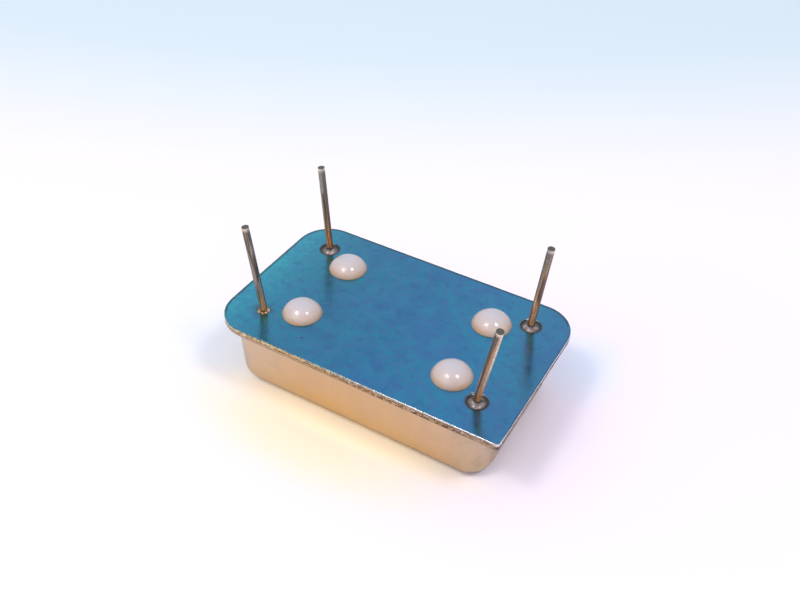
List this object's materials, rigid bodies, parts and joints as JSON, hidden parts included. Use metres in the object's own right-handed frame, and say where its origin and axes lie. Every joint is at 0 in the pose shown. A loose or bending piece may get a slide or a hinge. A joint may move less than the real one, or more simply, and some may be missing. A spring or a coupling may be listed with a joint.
{
  "type": "crystal oscillator",
  "caption": "Sealed metal can with a flanged drawn cover, a flat header with glass-sealed leads and glass standoffs, and a quartz oscillator circuit inside.",
  "frame": {"origin": "centre of the cover's closed face, which the can rests on", "axes": "+X along the can toward the square corner beside lead 1, +Y across it toward leads 8 and 14, +Z out of the header, the way the leads point"},
  "size_m": [0.0202, 0.0124, 0.012],
  "materials": {
    "cover_plate": "satin nickel plate on steel",
    "header_coat": "smooth blue coat on plated steel, semi-gloss",
    "seal_glass": "dark glossy sealing glass",
    "braze": "dull metal",
    "lead_metal": "drawn wire, tinned grey at the tips and brassy at the base",
    "standoff_glass": "milky white glass, glossy",
    "sheet": "matt insulating adhesive",
    "alumina": "matt white ceramic",
    "film": "printed gold conductor",
    "solder": "solder",
    "resistor_ink": "black resistor ink",
    "spring": "plated spring strip",
    "quartz": "polished quartz",
    "electrode_metal": "thin plated metal",
    "adhesive": "silver-filled adhesive",
    "moulding": "black moulding compound",
    "chip_lead": "tinned leads",
    "cap_ceramic": "tan ceramic",
    "cap_end": "tinned ends"
  },
  "bodies": {
    "root": {"cover": "cover_plate", "header": "header_coat", "glass_seal_1": "seal_glass", "glass_seal_8": "seal_glass", "glass_seal_14": "seal_glass", "ground_braze": "braze", "lead_1": "lead_metal", "lead_7": "lead_metal", "lead_8": "lead_metal", "lead_14": "lead_metal", "standoff_1": "standoff_glass", "standoff_7": "standoff_glass", "standoff_8": "standoff_glass", "standoff_14": "standoff_glass", "insulating_sheet": "sheet", "circuit_board": "alumina", "conductor_film": "film", "lead_solder": "solder", "resistor_1": "resistor_ink", "resistor_2": "resistor_ink", "clip_left": "spring", "clip_right": "spring", "quartz_blank": "quartz", "electrode_upper": "electrode_metal", "electrode_lower": "electrode_metal", "adhesive_left": "adhesive", "adhesive_right": "adhesive", "chip_moulding": "moulding", "chip_leads": "chip_lead", "capacitor_1": "cap_ceramic", "capacitor_1_ends": "cap_end", "capacitor_2": "cap_ceramic", "capacitor_2_ends": "cap_end"}
  },
  "joints": []
}
